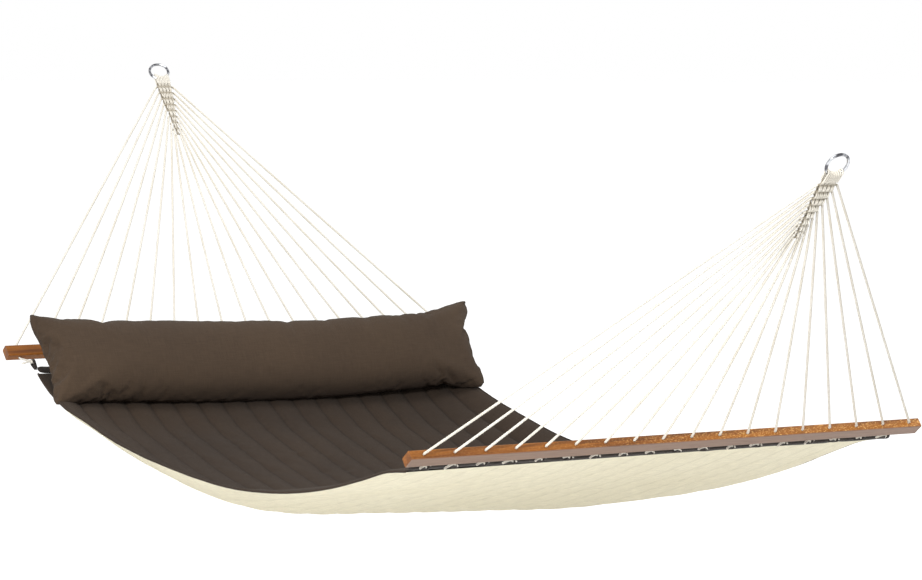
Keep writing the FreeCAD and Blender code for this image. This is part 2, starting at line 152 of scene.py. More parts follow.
@dataclass
class Mesh:
    """Vertices, faces, and a UV and a shade for every vertex, before they become an object.

    The shade is 1 in the open and lower where a rope dives between others; the rope's finish darkens it there as
    painted shade in the weave's crevices.
    """

    verts: Array
    faces: list[tuple[int, ...]]
    uvs: Array
    shade: Array | None = None

    @staticmethod
    def joined(meshes: list["Mesh"]) -> "Mesh":
        """One mesh that holds several, side by side.

        Args:
            meshes: The meshes to put together.

        Returns:
            The joined mesh.
        """
        starts = np.cumsum([0] + [len(mesh.verts) for mesh in meshes[:-1]])
        faces = [
            tuple(int(corner + start) for corner in face)
            for mesh, start in zip(meshes, starts)
            for face in mesh.faces
        ]
        shades = [np.ones(len(m.verts)) if m.shade is None else m.shade for m in meshes]
        uvs = np.vstack([m.uvs for m in meshes])
        return Mesh(np.vstack([m.verts for m in meshes]), faces, uvs, np.concatenate(shades))

    def piece(self, name: str, material: bpy.types.Material, body: str, slot: str) -> bpy.types.Object:
        """Make the Blender object, smooth shaded, dressed and riding on its body.

        Args:
            name: Name of the piece.
            material: Its finish.
            body: The body that it moves with.
            slot: The record's material slot; not used.

        Returns:
            The new object.
        """
        data = bpy.data.meshes.new(name)
        data.from_pydata(self.verts.tolist(), [], self.faces)
        corners = np.empty(len(data.loops), dtype=np.int32)
        data.loops.foreach_get("vertex_index", corners)
        layer = data.uv_layers.new(name="UVMap")
        layer.data.foreach_set("uv", self.uvs[corners].astype(np.float32).ravel())
        shade = np.ones(len(self.verts)) if self.shade is None else self.shade
        data.attributes.new("shade", "FLOAT", "POINT").data.foreach_set("value", shade.astype(np.float32))
        data.polygons.foreach_set("use_smooth", np.ones(len(data.polygons), dtype=bool))
        data.materials.append(material)
        data.update()
        piece = bpy.data.objects.new(name, data)
        bpy.context.scene.collection.objects.link(piece)
        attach(piece, body)
        log.info("%s: %d faces on %s", name, len(self.faces), body)
        return piece


def grid_faces(rows: int, columns: int, closed: bool) -> list[tuple[int, ...]]:
    """Quads of a grid whose points run row by row; a closed grid joins its last column to its first."""
    row = np.arange(rows - 1)[:, None] * columns
    column = np.arange(columns if closed else columns - 1)[None, :]
    following = (column + 1) % columns
    quads = np.stack([row + column, row + following, row + columns + following, row + columns + column], -1)
    return [tuple(quad) for quad in quads.reshape(-1, 4).tolist()]


def tube(path: Array, radius: float, around: int, upright: Array, lay: float = 0.0, groove: float = 0.0) -> Mesh:
    """Round or three-stranded rope along a path, with rounded ends.

    A ring of points stands square to the path at each of its points. At angle a round the rope the
    radius is R * (1 - groove * (1 - |cos(1.5 a)|)), three rounded strands, and the whole ring turns
    once every lay, so the columns of points follow the strands.

    Args:
        path: Points along the rope's centre.
        radius: Outer radius of the rope.
        around: Points in a ring.
        upright: A direction, or one for every point, that the path never runs along.
        lay: Length of one turn of the strands, or 0 for none.
        groove: Depth of the grooves between strands, as a share of the radius.

    Returns:
        The rope as a closed mesh whose UVs are (turns round it, metres along it).
    """
    ahead = unit(np.gradient(path, axis=0))
    side = unit(np.cross(ahead, np.broadcast_to(upright, path.shape)))
    lift = np.cross(side, ahead)
    run = np.concatenate([[0], np.cumsum(np.linalg.norm(np.diff(path, axis=0), axis=1))])
    cap = np.array([0.0, 0.55, 0.86])
    centres = np.vstack([path[:1] - ahead[:1] * radius * (1 - cap)[:, None], path,
                         path[-1:] + ahead[-1:] * radius * (1 - cap[::-1])[:, None]])
    shrink = np.concatenate([np.sqrt(1 - (1 - cap) ** 2), np.ones(len(path)), np.sqrt(1 - (1 - cap) ** 2)[::-1]])
    repeat = np.concatenate([[0] * 3, np.arange(len(path)), [len(path) - 1] * 3])
    side, lift, run = side[repeat], lift[repeat], run[repeat]
    angle = np.linspace(0, 2 * math.pi, around, endpoint=False)
    turn = angle[None, :] + (2 * math.pi * run[:, None] / lay if lay else 0.0)
    reach = radius * shrink[:, None] * (1 - groove * (1 - np.abs(np.cos(1.5 * angle))))[None, :]
    ring = side[:, None] * (np.cos(turn) * reach)[..., None] + lift[:, None] * (np.sin(turn) * reach)[..., None]
    verts = (centres[:, None] + ring).reshape(-1, 3)
    uvs = np.stack([np.broadcast_to(angle / (2 * math.pi), ring.shape[:2]),
                    np.broadcast_to(run[:, None], ring.shape[:2])], -1).reshape(-1, 2)
    faces = grid_faces(len(centres), around, True)
    return Mesh(verts, faces, uvs)


# ---------------------------------------------------------------- finishes


@dataclass
class Shader:
    """A material being built: a Principled shader and the nodes that feed it."""

    name: str
    material: bpy.types.Material = field(init=False)

    def __post_init__(self) -> None:
        """Start an empty node tree with its shader and output."""
        self.material = bpy.data.materials.new(self.name)
        self.material.use_nodes = True
        self.nodes = self.material.node_tree.nodes
        self.links = self.material.node_tree.links
        self.bsdf = self.nodes["Principled BSDF"]

    def node(self, kind: str, inputs: dict[str | int, object] | None = None, **settings: object) -> bpy.types.Node:
        """Add a node, set its properties, then give its inputs a value or another node's output.

        Args:
            kind: Blender's name of the node type.
            inputs: Values or sockets by input name or number.
            **settings: Properties of the node itself.

        Returns:
            The new node.
        """
        node = self.nodes.new(kind)
        for name, value in settings.items():
            setattr(node, name, value)
        for name, value in (inputs or {}).items():
            self.feed(node.inputs[name], value)
        return node

    def feed(self, socket: bpy.types.NodeSocket, value: object) -> None:
        """Link a socket to an output, or set its value."""
        if isinstance(value, bpy.types.NodeSocket):
            self.links.new(value, socket)
        else:
            socket.default_value = value

    def math(self, operation: str, first: object, second: object = 0.0) -> bpy.types.NodeSocket:
        """Output of a Math node over one or two values or sockets."""
        return self.node("ShaderNodeMath", {0: first, 1: second}, operation=operation).outputs[0]

    def noise(self, vector: object, scale: float, detail: float = 3.0) -> bpy.types.NodeSocket:
        """Grey noise from 0 to 1 over a coordinate."""
        inputs = {"Vector": vector, "Scale": scale, "Detail": detail}
        return self.node("ShaderNodeTexNoise", inputs).outputs[0]

    def ramp(self, value: object, stops: list[tuple[float, tuple[float, float, float]]]) -> bpy.types.NodeSocket:
        """Colour read from a ramp of (place, colour) stops."""
        node = self.node("ShaderNodeValToRGB", {0: value})
        while len(node.color_ramp.elements) < len(stops):
            node.color_ramp.elements.new(0.5)
        for element, (place, colour) in zip(node.color_ramp.elements, stops):
            element.position = place
            element.color = (*colour, 1.0)
        return node.outputs[0]

    def mix(self, share: object, first: object, second: object, blend: str = "MIX") -> bpy.types.NodeSocket:
        """Mix of two colours by a share."""
        node = self.node("ShaderNodeMix", data_type="RGBA", blend_type=blend)
        self.feed(node.inputs[0], share)
        self.feed(node.inputs[6], first)
        self.feed(node.inputs[7], second)
        return node.outputs[2]

    def bump(self, height: object, distance: float, strength: float = 1.0) -> None:
        """Feed the shader's normal from a height."""
        node = self.node("ShaderNodeBump", {"Height": height, "Distance": distance, "Strength": strength})
        self.links.new(node.outputs[0], self.bsdf.inputs["Normal"])

    def surface(self, **values: object) -> None:
        """Set the shader's own inputs, with _ in a name standing for a space."""
        for name, value in values.items():
            self.feed(self.bsdf.inputs[name.replace("_", " ")], value)


Colour = tuple[float, float, float]


def opaque(colour: Colour) -> tuple[float, float, float, float]:
    """The colour with full alpha."""
    return (*colour, 1.0)


@dataclass(frozen=True)
class ClothFinish:
    """Plain-woven cloth: crossing threads, uneven yarn, faded patches, a soft sheen and, where it is quilted, painted
    shade along the sewn seams.
    """

    name: str
    colour: Colour
    shade: Colour
    thread: float = 0.0011
    seam_pitch: float = 0.0
    seam_colour: Colour = (0.02, 0.015, 0.01)
    sheen: float = 0.12
    # Painted shade: colour factor at a sewn seam, rising to 1 away from it.
    painted_seam_shade: float = 0.78

    def material(self) -> bpy.types.Material:
        """Build the material; patterns follow the piece's UV map, which is in metres."""
        shader = Shader(self.name)
        uv = shader.node("ShaderNodeTexCoord").outputs["UV"]
        place = shader.node("ShaderNodeTexCoord").outputs["Object"]
        split = shader.node("ShaderNodeSeparateXYZ", {0: uv})
        across, along = split.outputs[0], split.outputs[1]
        turns = 2 * math.pi / self.thread
        warp = shader.math("ABSOLUTE", shader.math("SINE", shader.math("MULTIPLY", across, turns / 2)))
        weft = shader.math("ABSOLUTE", shader.math("SINE", shader.math("MULTIPLY", along, turns / 2)))
        weave = shader.math("MULTIPLY", warp, weft)
        patches = shader.noise(place, 2.3, 4.0)
        stretch = shader.node("ShaderNodeMapping", {"Vector": uv, "Scale": (400.0, 25.0, 1.0)}).outputs[0]
        slubs = shader.noise(stretch, 1.0, 2.0)
        cross = shader.node("ShaderNodeMapping", {"Vector": uv, "Scale": (25.0, 400.0, 1.0)}).outputs[0]
        slubs = shader.math("ADD", slubs, shader.noise(cross, 1.0, 2.0))
        base = shader.ramp(patches, [(0.3, self.shade), (0.62, self.colour)])
        light = shader.ramp(shader.math("MULTIPLY", slubs, 0.5), [(0.35, (0.86,) * 3), (0.65, (1.1,) * 3)])
        base = shader.mix(1.0, base, light, "MULTIPLY")
        threads = shader.ramp(weave, [(0.0, (0.82,) * 3), (0.5, (1.03,) * 3)])
        base = shader.mix(0.6, base, threads, "MULTIPLY")
        height = shader.math("ADD", weave, shader.math("MULTIPLY", slubs, 0.4))
        if self.seam_pitch:
            base, height = self.stitched(shader, base, height, across, along)
        shader.bump(height, 0.0004, 0.55)
        shader.surface(Base_Color=base, Roughness=0.92, Specular_IOR_Level=0.12, Sheen_Weight=self.sheen,
                       Sheen_Roughness=0.6)
        return shader.material

    def stitched(self, shader: Shader, base: object, height: object, across: object,
                 along: object) -> tuple[object, object]:
        """Draw a dashed line of thread along every sewn channel, and darken the cloth beside it as painted shade in
        the seam's crease.

        Args:
            shader: The material being built.
            base: Colour so far.
            height: Bump height so far.
            across: Coordinate across the channels, in metres.
            along: Coordinate along the channels, in metres.

        Returns:
            The colour with the stitches and the painted seam shade on it, and the height with the stitches.
        """
        off = shader.math("PINGPONG", across, self.seam_pitch / 2)
        near = shader.math("LESS_THAN", off, 0.0007)
        dash = shader.math("GREATER_THAN", shader.math("FRACT", shader.math("MULTIPLY", along, 1 / 0.0045)), 0.28)
        stitch = shader.math("MULTIPLY", near, dash)
        # Painted shade: the cloth darkens towards each sewn seam, in the crease it dips into.
        painted_seam_shade = shader.node("ShaderNodeMapRange", {0: off, 1: 0.0, 2: 0.007, 3: self.painted_seam_shade, 4: 1.0}).outputs[0]
        tint = shader.node("ShaderNodeCombineColor", {0: painted_seam_shade, 1: painted_seam_shade, 2: painted_seam_shade}).outputs[0]
        base = shader.mix(1.0, base, tint, "MULTIPLY")
        base = shader.mix(stitch, base, opaque(self.seam_colour))
        return base, shader.math("ADD", height, shader.math("MULTIPLY", stitch, 1.6))


@dataclass(frozen=True)
class RopeFinish:
    """Twisted cream rope: fine yarns at a slant to each strand, painted shade in the grooves between strands and in
    the weave's crevices.
    """

    name: str = "rope_cotton"
    colour: Colour = (0.80, 0.765, 0.69)
    # Painted shade: darker colour in the grooves between the strands.
    groove: Colour = (0.47, 0.43, 0.36)

    def material(self) -> bpy.types.Material:
        """Build the material; UVs are (turns round the rope, metres along it)."""
        shader = Shader(self.name)
        uv = shader.node("ShaderNodeTexCoord").outputs["UV"]
        place = shader.node("ShaderNodeTexCoord").outputs["Object"]
        split = shader.node("ShaderNodeSeparateXYZ", {0: uv})
        strand = shader.math("MULTIPLY", split.outputs[0], 3 * math.pi)
        ridge = shader.math("ABSOLUTE", shader.math("COSINE", strand))
        slant = shader.math("ADD", shader.math("MULTIPLY", split.outputs[0], 16.0),
                            shader.math("MULTIPLY", split.outputs[1], 900.0))
        yarn = shader.math("ABSOLUTE", shader.math("SINE", slant))
        patches = shader.noise(place, 9.0, 4.0)
        # Painted shade: the colour darkens towards each groove between strands.
        base = shader.ramp(shader.math("POWER", ridge, 0.6), [(0.0, self.groove), (0.55, self.colour)])
        wear = shader.ramp(patches, [(0.3, (0.90, 0.88, 0.84)), (0.6, (1.0, 1.0, 1.0))])
        base = shader.mix(1.0, base, wear, "MULTIPLY")
        fibre = shader.ramp(yarn, [(0.0, (0.86, 0.85, 0.82)), (0.5, (1.0, 1.0, 1.0))])
        base = shader.mix(0.7, base, fibre, "MULTIPLY")
        # Painted shade: the shade attribute darkens the rope where it dives between others in the weave.
        open_air = shader.node("ShaderNodeAttribute", attribute_name="shade").outputs["Fac"]
        painted_crevice_shade = shader.ramp(open_air, [(0.0, (0.36, 0.32, 0.25)), (1.0, (1.0, 1.0, 1.0))])
        base = shader.mix(1.0, base, painted_crevice_shade, "MULTIPLY")
        fuzz = shader.noise(place, 1400.0, 2.0)
        shader.bump(shader.math("ADD", yarn, fuzz), 0.0003, 0.5)
        shader.surface(Base_Color=base, Roughness=0.8, Specular_IOR_Level=0.3, Sheen_Weight=0.15,
                       Sheen_Roughness=0.5)
        return shader.material


@dataclass(frozen=True)
class WoodFinish:
    """Oiled hardwood bar: grain along its length, gold flecks on the bored face, and a greyer underside of painted
    shade and painted reflection.
    """

    name: str
    centre: tuple[float, float, float]
    hole_axis: tuple[float, float, float]
    under_axis: tuple[float, float, float]
    dark: Colour = (0.095, 0.027, 0.004)
    warm: Colour = (0.235, 0.078, 0.009)
    gold: Colour = (0.80, 0.46, 0.15)
    # Painted shade and painted reflection: greyer brown of the face that looks down and out.
    painted_underside_shade: Colour = (0.235, 0.155, 0.115)

    def material(self) -> bpy.types.Material:
        """Build the material; the faces are told apart by the distance from the bar's centre line."""
        shader = Shader(self.name)
        place = shader.node("ShaderNodeTexCoord").outputs["Object"]
        local = shader.node("ShaderNodeVectorMath", {0: place, 1: self.centre}, operation="SUBTRACT").outputs[0]
        depth = self.reach(shader, local, self.hole_axis)
        under = self.reach(shader, local, self.under_axis)
        lengthwise = shader.node("ShaderNodeMapping", {"Vector": local, "Scale": (2.2, 60.0, 60.0)}).outputs[0]
        broad = shader.noise(lengthwise, 1.0, 5.0)
        lines = shader.node("ShaderNodeMapping", {"Vector": local, "Scale": (14.0, 420.0, 420.0)}).outputs[0]
        pores = shader.noise(lines, 1.0, 4.0)
        base = shader.ramp(broad, [(0.28, self.dark), (0.5, self.warm), (0.75, (0.34, 0.125, 0.016))])
        streaks = shader.ramp(pores, [(0.36, (0.62, 0.55, 0.5)), (0.52, (1.05, 1.05, 1.05))])
        base = shader.mix(0.75, base, streaks, "MULTIPLY")
        dots = shader.node("ShaderNodeMapping", {"Vector": local, "Scale": (190.0, 620.0, 620.0)}).outputs[0]
        flecks = shader.node("ShaderNodeMapRange", {0: shader.noise(dots, 1.0, 2.0), 1: 0.56, 2: 0.64}).outputs[0]
        top = shader.node("ShaderNodeMapRange", {0: depth, 1: 0.0155, 2: 0.0163}).outputs[0]
        rough_half = shader.node("ShaderNodeSeparateXYZ", {0: local}).outputs[0]
        rough_half = shader.node("ShaderNodeMapRange", {0: rough_half, 1: -0.35, 2: 0.25, 3: 0.12, 4: 0.85}).outputs[0]
        flecked = shader.math("MULTIPLY", shader.math("MULTIPLY", flecks, top), rough_half)
        base = shader.mix(flecked, base, opaque(self.gold))
        # Painted shade and painted reflection: the face that looks down and out takes a greyer brown.
        low = shader.node("ShaderNodeMapRange", {0: under, 1: 0.0095, 2: 0.0112}).outputs[0]
        painted_underside = shader.mix(0.35, opaque(self.painted_underside_shade), streaks, "MULTIPLY")
        base = shader.mix(shader.math("MULTIPLY", low, 0.92), base, painted_underside)
        shader.bump(shader.math("ADD", pores, shader.math("MULTIPLY", flecked, 0.8)), 0.0003, 0.4)
        rough = shader.node("ShaderNodeMapRange", {0: pores, 3: 0.5, 4: 0.34}).outputs[0]
        shader.surface(Base_Color=base, Roughness=rough, Specular_IOR_Level=0.25)
        return shader.material

    @staticmethod
    def reach(shader: Shader, local: object, axis: tuple[float, float, float]) -> object:
        """Distance from the bar's centre line along one of its two cross axes."""
        inputs = {0: local, 1: axis}
        return shader.node("ShaderNodeVectorMath", inputs, operation="DOT_PRODUCT").outputs["Value"]


@dataclass(frozen=True)
class SteelFinish:
    """Bright plated steel with faint rubbed scratches and dark patches of painted reflection."""

    name: str = "ring_chrome"
    colour: Colour = (0.50, 0.51, 0.53)
    painted_dark_reflection: Colour = (0.10, 0.10, 0.11)

    def material(self) -> bpy.types.Material:
        """Build the material."""
        shader = Shader(self.name)
        place = shader.node("ShaderNodeTexCoord").outputs["Object"]
        scratches = shader.noise(shader.node("ShaderNodeMapping", {"Vector": place, "Scale": (900.0, 90.0, 300.0)})
                                 .outputs[0], 1.0, 3.0)
        painted_reflection_noise = shader.noise(place, 60.0, 4.0)
        # Painted reflection: dark patches stand in for dark surroundings mirrored in the steel.
        base = shader.ramp(painted_reflection_noise, [(0.42, self.painted_dark_reflection), (0.56, self.colour)])
        rough = shader.node("ShaderNodeMapRange", {0: scratches, 3: 0.08, 4: 0.26}).outputs[0]
        shader.bump(scratches, 0.0001, 0.15)
        shader.surface(Base_Color=base, Metallic=1.0, Roughness=rough)
        return shader.material


@dataclass(frozen=True)
class WebbingFinish:
    """Dense dark tape with a ribbed weave across it."""

    name: str = "hem_webbing"
    colour: Colour = (0.030, 0.022, 0.017)

    def material(self) -> bpy.types.Material:
        """Build the material; UVs are in metres."""
        shader = Shader(self.name)
        uv = shader.node("ShaderNodeTexCoord").outputs["UV"]
        split = shader.node("ShaderNodeSeparateXYZ", {0: uv})
        ribs = shader.math("ABSOLUTE", shader.math("SINE", shader.math("MULTIPLY", split.outputs[1], 2600.0)))
        threads = shader.math("ABSOLUTE", shader.math("SINE", shader.math("MULTIPLY", split.outputs[0], 3900.0)))
        weave = shader.math("MULTIPLY", ribs, threads)
        lint = shader.noise(uv, 180.0, 3.0)
        tone = shader.ramp(shader.math("MULTIPLY", shader.math("ADD", weave, lint), 0.5),
                           [(0.2, (0.012, 0.009, 0.008)), (0.6, self.colour), (0.9, (0.06, 0.046, 0.036))])
        shader.bump(weave, 0.0003, 0.6)
        shader.surface(Base_Color=tone, Roughness=0.85, Specular_IOR_Level=0.3, Sheen_Weight=0.1)
        return shader.material


# ---------------------------------------------------------------- places taken from the frame


@dataclass
class HammockEnd:
    """Where one end's knots, fold line, weave and ring lie, read from the frame's joints and nodes."""

    side: Side
    knot: Array = field(init=False)
    fold: Array = field(init=False)
    pivot: Array = field(init=False)
    ring_centre: Array = field(init=False)
    bar_out: Array = field(init=False)
    clew_out: Array = field(init=False)
    ring_out: Array = field(init=False)

    def __post_init__(self) -> None:
        """Read the joints' places and work out the directions between them."""
        places = {joint["name"]: np.array(joint["pos_m"]) for joint in frame["joints"] if "pos_m" in joint}
        label = self.side.label
        self.knot = places[f"{label}_bar_roll"]
        self.fold = places[f"{label}_clew_fold"]
        self.pivot = places[f"{label}_ring_tilt"]
        low, high = (np.array(corner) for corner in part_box(f"{label}_ring"))
        self.ring_centre = (low + high) / 2
        self.bar_out = unit(self.fold - self.knot)
        self.clew_out = unit(self.pivot - self.fold)
        self.ring_out = unit(self.ring_centre - self.pivot)

    @property
    def clew_normal(self) -> Array:
        """Unit vector square to the clew's plane, on the upper side."""
        return np.cross([1.0, 0.0, 0.0], self.clew_out) * self.side.value

    def row_x(self, pitch: float) -> Array:
        """X of all ropes at a pitch."""
        return (np.arange(ROPES) - (ROPES - 1) / 2) * pitch


# ---------------------------------------------------------------- rings, weave and ropes


@dataclass
class Ring:
    """Round steel ring with its weld."""

    end: HammockEnd
    head_twist: float = math.radians(-12)
    foot_twist: float = math.radians(2)
    weld_swell: float = 0.12
    wire_points: int = 20
    ring_points: int = 112

    def axes(self) -> tuple[Array, Array, Array]:
        """The ring's own right, up and face directions.

        Returns:
            Three unit vectors.
        """
        up = self.end.ring_out
        face = np.cross([1.0, 0.0, 0.0], up)
        angle = self.head_twist if self.end.side is Side.HEAD else -self.foot_twist
        right = np.array([1.0, 0.0, 0.0]) * math.cos(angle) - face * math.sin(angle)
        return right, up, np.cross(right, up)

    def steel(self) -> Mesh:
        """Torus: a circle of wire carried round the ring, a little thicker at the weld.

        Returns:
            The closed ring.
        """
        right, up, face = self.axes()
        turn = np.linspace(0, 2 * math.pi, self.ring_points, endpoint=False)[:, None]
        angle = np.linspace(0, 2 * math.pi, self.wire_points, endpoint=False)[None, :]
        weld = np.exp(-(((turn - 1.5 * math.pi - 1.25) / 0.07) ** 2))
        wire = RING_WIRE * (1 + self.weld_swell * weld)
        out = np.cos(turn)[..., None] * right + np.sin(turn)[..., None] * up
        reach = RING_RADIUS + wire * np.cos(angle)
        verts = self.end.ring_centre + out * reach[..., None] + face * (wire * np.sin(angle))[..., None]
        uvs = np.stack(np.broadcast_arrays(turn * RING_RADIUS, angle * RING_WIRE), -1).reshape(-1, 2)
        faces = grid_faces(self.ring_points, self.wire_points, True)
        last = (self.ring_points - 1) * self.wire_points
        columns = np.arange(self.wire_points)
        following = (columns + 1) % self.wire_points
        closing = np.stack([last + columns, last + following, following, columns], -1)
        return Mesh(verts.reshape(-1, 3), faces + [tuple(f) for f in closing.tolist()], uvs)

    def build(self, steel: bpy.types.Material) -> None:
        """Make the ring.

        Args:
            steel: Finish of the wire.
        """
        label = self.end.side.label
        ring = self.steel().piece(f"{label}_ring_steel", steel, f"{label}_ring", "ring_steel")
        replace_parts(ring, f"{label}_ring")


@dataclass
class Clew:
    """Ropes of one end: doubled over the ring, woven into a flat triangle and fanned out to the bar.

    Nine ropes hang doubled on the ring, so 18 legs come down in a front and a back layer. The two layers
    change places at every row; at each row one leg from each edge crosses between the layers and leaves
    on the far side as a straight suspension rope.
    """

    end: HammockEnd
    spacing: float = 0.0051
    ring_spacing: float = 0.0046
    first_row: float = 0.016
    row_pitch: float = 0.01925
    swing: float = 0.0046
    leg_radius: float = 0.00250
    over_radius: float = 0.00228
    pairing: float = 0.0008
    last_row_margin: float = 0.0025
    lay: float = 0.021
    groove: float = 0.17

    @property
    def top(self) -> float:
        """Distance of the weave's ring end from the fold line."""
        pivot = float(np.linalg.norm(self.end.pivot - self.end.fold))
        return pivot - RING_WIRE - 2 * ROPE_RADIUS - 0.0003

    def at(self, x: Array, reach: Array, lift: Array) -> Array:
        """Points of the clew's own plane in the frame.

        Args:
            x: Distance across.
            reach: Distance from the fold line towards the ring.
            lift: Height off the plane.

        Returns:
            One point per row.
        """
        x, reach, lift = np.broadcast_arrays(x, reach, lift)
        return (self.end.fold + x[:, None] * [1.0, 0.0, 0.0] + reach[:, None] * self.end.clew_out
                + lift[:, None] * self.end.clew_normal)

    def edge(self, row: float) -> float:
        """Half of the weave's width at a row."""
        return (ROPES / 2 - row) / 2 * self.spacing + ROPE_RADIUS

    def leg(self, number: int, hand: int) -> Mesh:
        """One leg inside the weave, from the ring to where it leaves on the far side.

        With r counted in rows from the ring, a leg of one layer lies at
        x = (number - 4 - r / 2) * spacing and swings off the plane as cos(pi * r); the other layer is its
        mirror image.

        Args:
            number: Row after which the leg leaves, which is also its place across the ring.
            hand: +1 for the layer that starts in front, -1 for the other.

        Returns:
            The leg as a rope.
        """
        rows = np.arange(0.0, number + 0.01, 0.5)
        spacing = self.ring_spacing + (self.spacing - self.ring_spacing) * np.clip(rows * 2, 0, 1)
        x = (number - 4 - rows / 2) * spacing
        x = x + self.pairing * np.sin(math.pi * x / self.spacing)
        lift = self.swing * np.cos(math.pi * rows)
        reach = self.top - self.first_row - (rows - 0.35) * self.row_pitch
        reach[0] = self.top - 0.004
        reach = np.minimum(reach, self.top - 0.002)
        far = self.edge(number)
        turn = self.top - self.first_row - number * self.row_pitch
        x = np.concatenate([x, [x[-1] * 0.6, 0.0, far * 0.75, far + 0.004]])
        lift = np.concatenate([lift, [0.0, 0.0, 0.0, 0.0]])
        reach = np.concatenate([reach, [turn + 0.001, turn, turn - 0.001, turn - 0.007]])
        points = smooth_path(self.at(hand * x, reach, hand * lift), 0.0022)
        rope = tube(points, self.leg_radius, 9, self.end.clew_normal + 0.01, self.lay, self.groove)
        # Painted shade: the shade falls towards the weave's middle plane, where the legs cross between the layers.
        off_plane = np.abs((rope.verts - self.end.fold) @ self.end.clew_normal)
        rope.shade = np.clip((off_plane - 0.0012) / (self.swing * 0.95), 0, 1) ** 0.8
        return rope

    def over_ring(self, number: int) -> Mesh:
        """One rope doubled over the ring's wire, from the front layer round to the back one.

        Args:
            number: Place across the ring, 0 to 8.

        Returns:
            The doubled rope.
        """
        x = (number - 4) * self.ring_spacing
        hang = self.end.pivot + self.end.ring_out * (RING_RADIUS - math.sqrt(RING_RADIUS**2 - x * x))
        reach = RING_WIRE + ROPE_RADIUS
        angle = np.radians([-20, 10, 50, 90, 130, 170, 200])
        face = np.cross([1.0, 0.0, 0.0], self.end.ring_out)
        over = hang + reach * (np.cos(angle)[:, None] * face + np.sin(angle)[:, None] * self.end.ring_out)
        over[:, 0] = x
        low = self.at(np.full(2, x), np.full(2, self.top - 0.006), np.array([1.0, -1.0]) * self.swing)
        ends = low if np.dot(face, self.end.clew_normal) > 0 else low[::-1]
        points = np.vstack([ends[:1], over, ends[1:]])
        return tube(smooth_path(points, 0.002), self.over_radius, 9, np.array([1.0, 0.02, 0.0]), self.lay, 0.22)

    def suspension(self, number: int) -> Mesh:
        """Straight rope from the weave's edge to its hole.

        Args:
            number: Place along the bar, 0 to 17.

        Returns:
            The rope.
        """
        start_x = float(self.end.row_x(HOLE_PITCH)[number])
        row = min(number, ROPES - 1 - number)
        hand = math.copysign(1, start_x)
        reach = self.top - self.first_row - row * self.row_pitch
        stop_x = hand * (self.edge(row) + 0.001)
        length = math.hypot(reach, start_x - stop_x)
        share = np.linspace(0, 1, int(length / 0.0017))
        points = self.at(start_x + (stop_x - start_x) * share, (reach - 0.003) * share, np.zeros_like(share))
        return tube(points, ROPE_CREST, 9, self.end.clew_normal, self.lay, self.groove)

    def build(self, rope: bpy.types.Material) -> None:
        """Make the wrap, the weave and the 18 suspension ropes.

        Args:
            rope: Finish of the ropes.
        """
        label = self.end.side.label
        body = f"{label}_clew"
        wraps = Mesh.joined([self.over_ring(number) for number in range(ROPES // 2)])
        wrap = wraps.piece(f"{label}_rope_over_ring", rope, f"{label}_ring", "rope")
        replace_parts(wrap, f"{label}_ring_wrap")
        legs = [self.leg(number, hand) for number in range(ROPES // 2) for hand in (1, -1)]
        weave = Mesh.joined(legs).piece(f"{label}_woven_triangle", rope, body, "rope")
        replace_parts(weave, f"{label}_weave")
        for number in range(ROPES):
            name = f"{label}_rope_{number + 1:02d}"
            strand = self.suspension(number).piece(name, rope, body, "rope")
            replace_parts(strand, f"{label}_cord_{number + 1:02d}")


# ---------------------------------------------------------------- bar, lacing, knots and loops


@dataclass
class Bar:
    """Wooden spreader bar: the frame's own bored bar in a wood finish."""

    end: HammockEnd
    depth: float = 0.033

    def build(self) -> None:
        """Dress the bar's node."""
        label = self.end.side.label
        low, high = (np.array(corner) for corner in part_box(f"{label}_bar"))
        centre = (low + high) / 2
        under = np.cross([1.0, 0.0, 0.0], self.end.bar_out) * -self.end.side.value
        if under[2] > 0:
            under = -under
        finish = WoodFinish(f"{label}_bar_wood", tuple(centre), tuple(self.end.bar_out), tuple(under))
        node = frame["nodes"][f"{label}_bar"]
        node.data.materials.clear()
        node.data.materials.append(finish.material())
        log.info("%s_bar: dressed", label)


